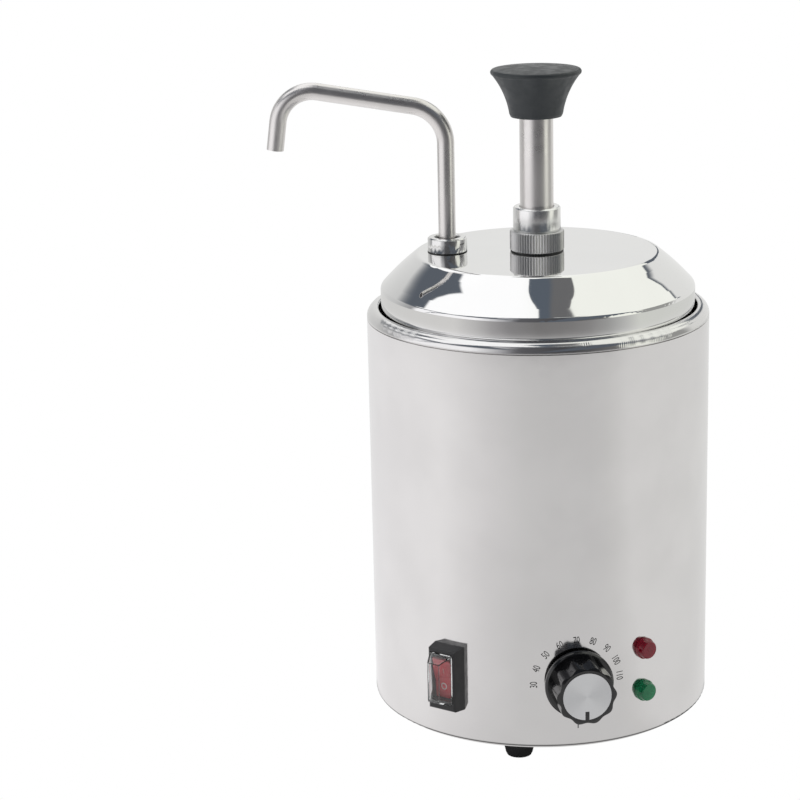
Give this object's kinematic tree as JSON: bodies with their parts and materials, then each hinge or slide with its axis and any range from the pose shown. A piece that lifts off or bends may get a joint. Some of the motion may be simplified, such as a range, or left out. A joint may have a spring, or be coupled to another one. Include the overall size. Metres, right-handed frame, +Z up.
{
  "type": "nacho cheese dispenser",
  "caption": "Round heated sauce warmer with a lift-out pot and a lid that carries a push-knob pump and swan-neck spout.",
  "frame": {"origin": "on the surface the dispenser stands on, at the centre of the circle through its four feet, which is the body's axis", "axes": "+Z up along the body's axis; -Y towards the controls; -X towards the spout"},
  "size_m": [0.2304, 0.2159, 0.3489],
  "materials": {
    "satin_steel": "satin",
    "polished_steel": "mirror polished",
    "tube_steel": "fine brushed",
    "turned_steel": "turned and polished",
    "zinc_steel": "zinc plated",
    "element_steel": "heat darkened",
    "spread_aluminium": "cast",
    "cap_aluminium": "spun",
    "brass": "plain",
    "copper": "drawn",
    "knob_grey": "satin",
    "black_plastic": "satin",
    "dial_black": "gloss",
    "rocker_red": "gloss",
    "clear_plastic": "clear",
    "lens_red": "translucent",
    "lens_green": "translucent",
    "rubber": "matte",
    "seal_rubber": "matte",
    "white_plastic": "plain",
    "cream_plastic": "plain",
    "wire_brown": "plain",
    "wire_blue": "plain",
    "wire_green": "plain"
  },
  "bodies": {
    "housing": {"outer_shell": "satin_steel", "water_well": "satin_steel", "base_plate": "satin_steel", "rubber_feet": "rubber", "foot_screws": "zinc_steel", "foot_nuts": "zinc_steel", "heat_spreader": "spread_aluminium", "heating_element": "element_steel", "heater_clips": "zinc_steel", "thermal_cutout": "cream_plastic", "cutout_screws": "zinc_steel", "thermostat_plate": "zinc_steel", "thermostat_body": "cream_plastic", "thermostat_screws": "zinc_steel", "sensor_bulb": "copper", "capillary_tube": "copper", "switch_frame": "black_plastic", "switch_cover": "clear_plastic", "spade_tabs": "brass", "red_lamp_lens": "lens_red", "green_lamp_lens": "lens_green", "lamp_bodies": "black_plastic", "lamp_nuts": "black_plastic", "cable_gland": "black_plastic", "gland_cap_nut": "black_plastic", "gland_seal": "seal_rubber", "gland_lock_nut": "black_plastic", "terminal_block": "cream_plastic", "terminal_screws": "brass", "earth_stud": "brass", "live_wires": "wire_brown", "neutral_wire": "wire_blue", "earth_wire": "wire_green"},
    "rocker": {"switch_rocker": "rocker_red"},
    "dial": {"thermostat_shaft": "zinc_steel", "dial_knob": "dial_black", "knob_cap": "cap_aluminium"},
    "sauce_pot": {"sauce_pot": "satin_steel"},
    "lid_and_pump": {"lid": "polished_steel", "pump_cylinder": "turned_steel", "pump_seals": "seal_rubber", "knurled_nut": "turned_steel", "plunger_gland": "turned_steel", "guide_bush": "white_plastic", "valve_body": "turned_steel", "inlet_nozzle": "turned_steel", "delivery_tube": "tube_steel", "outlet_seat": "turned_steel", "valve_pins": "turned_steel", "spout_tube": "tube_steel", "spout_collar": "turned_steel", "return_spring": "turned_steel"},
    "plunger": {"piston": "white_plastic", "piston_seals": "seal_rubber", "plunger_tube": "tube_steel", "plunger_plug": "turned_steel", "pump_knob": "knob_grey"},
    "inlet_ball": {"inlet_ball": "turned_steel"},
    "outlet_ball": {"outlet_ball": "turned_steel"}
  },
  "joints": [
    {"name": "pot_lift", "type": "slide", "parent": "housing", "child": "sauce_pot", "axis": [0, 0, 1], "range_m": [0, 0.18]},
    {"name": "lid_lift", "type": "slide", "parent": "sauce_pot", "child": "lid_and_pump", "axis": [0, 0, 1], "range_m": [0, 0.18]},
    {"name": "plunger_press", "type": "slide", "parent": "lid_and_pump", "child": "plunger", "axis": [0, 0, -1], "range_m": [0, 0.045], "stiffness_N_per_m": 300, "springref_m": -0.02, "deforming": ["return_spring"]},
    {"name": "inlet_valve", "type": "slide", "parent": "lid_and_pump", "child": "inlet_ball", "axis": [0, 0, 1], "range_m": [0, 0.0025]},
    {"name": "outlet_valve", "type": "slide", "parent": "lid_and_pump", "child": "outlet_ball", "axis": [0, 0, 1], "range_m": [0, 0.0025]},
    {"name": "power_rocker", "type": "hinge", "parent": "housing", "child": "rocker", "pos_m": [-0.04714, -0.07784, 0.0454], "axis": [-0.8554, 0.518, 0], "range_deg": [0, 20]},
    {"name": "thermostat_dial", "type": "hinge", "parent": "housing", "child": "dial", "pos_m": [0.01948, -0.08787, 0.0453], "axis": [-0.2164, 0.9763, 0], "range_deg": [0, 270]}
  ]
}
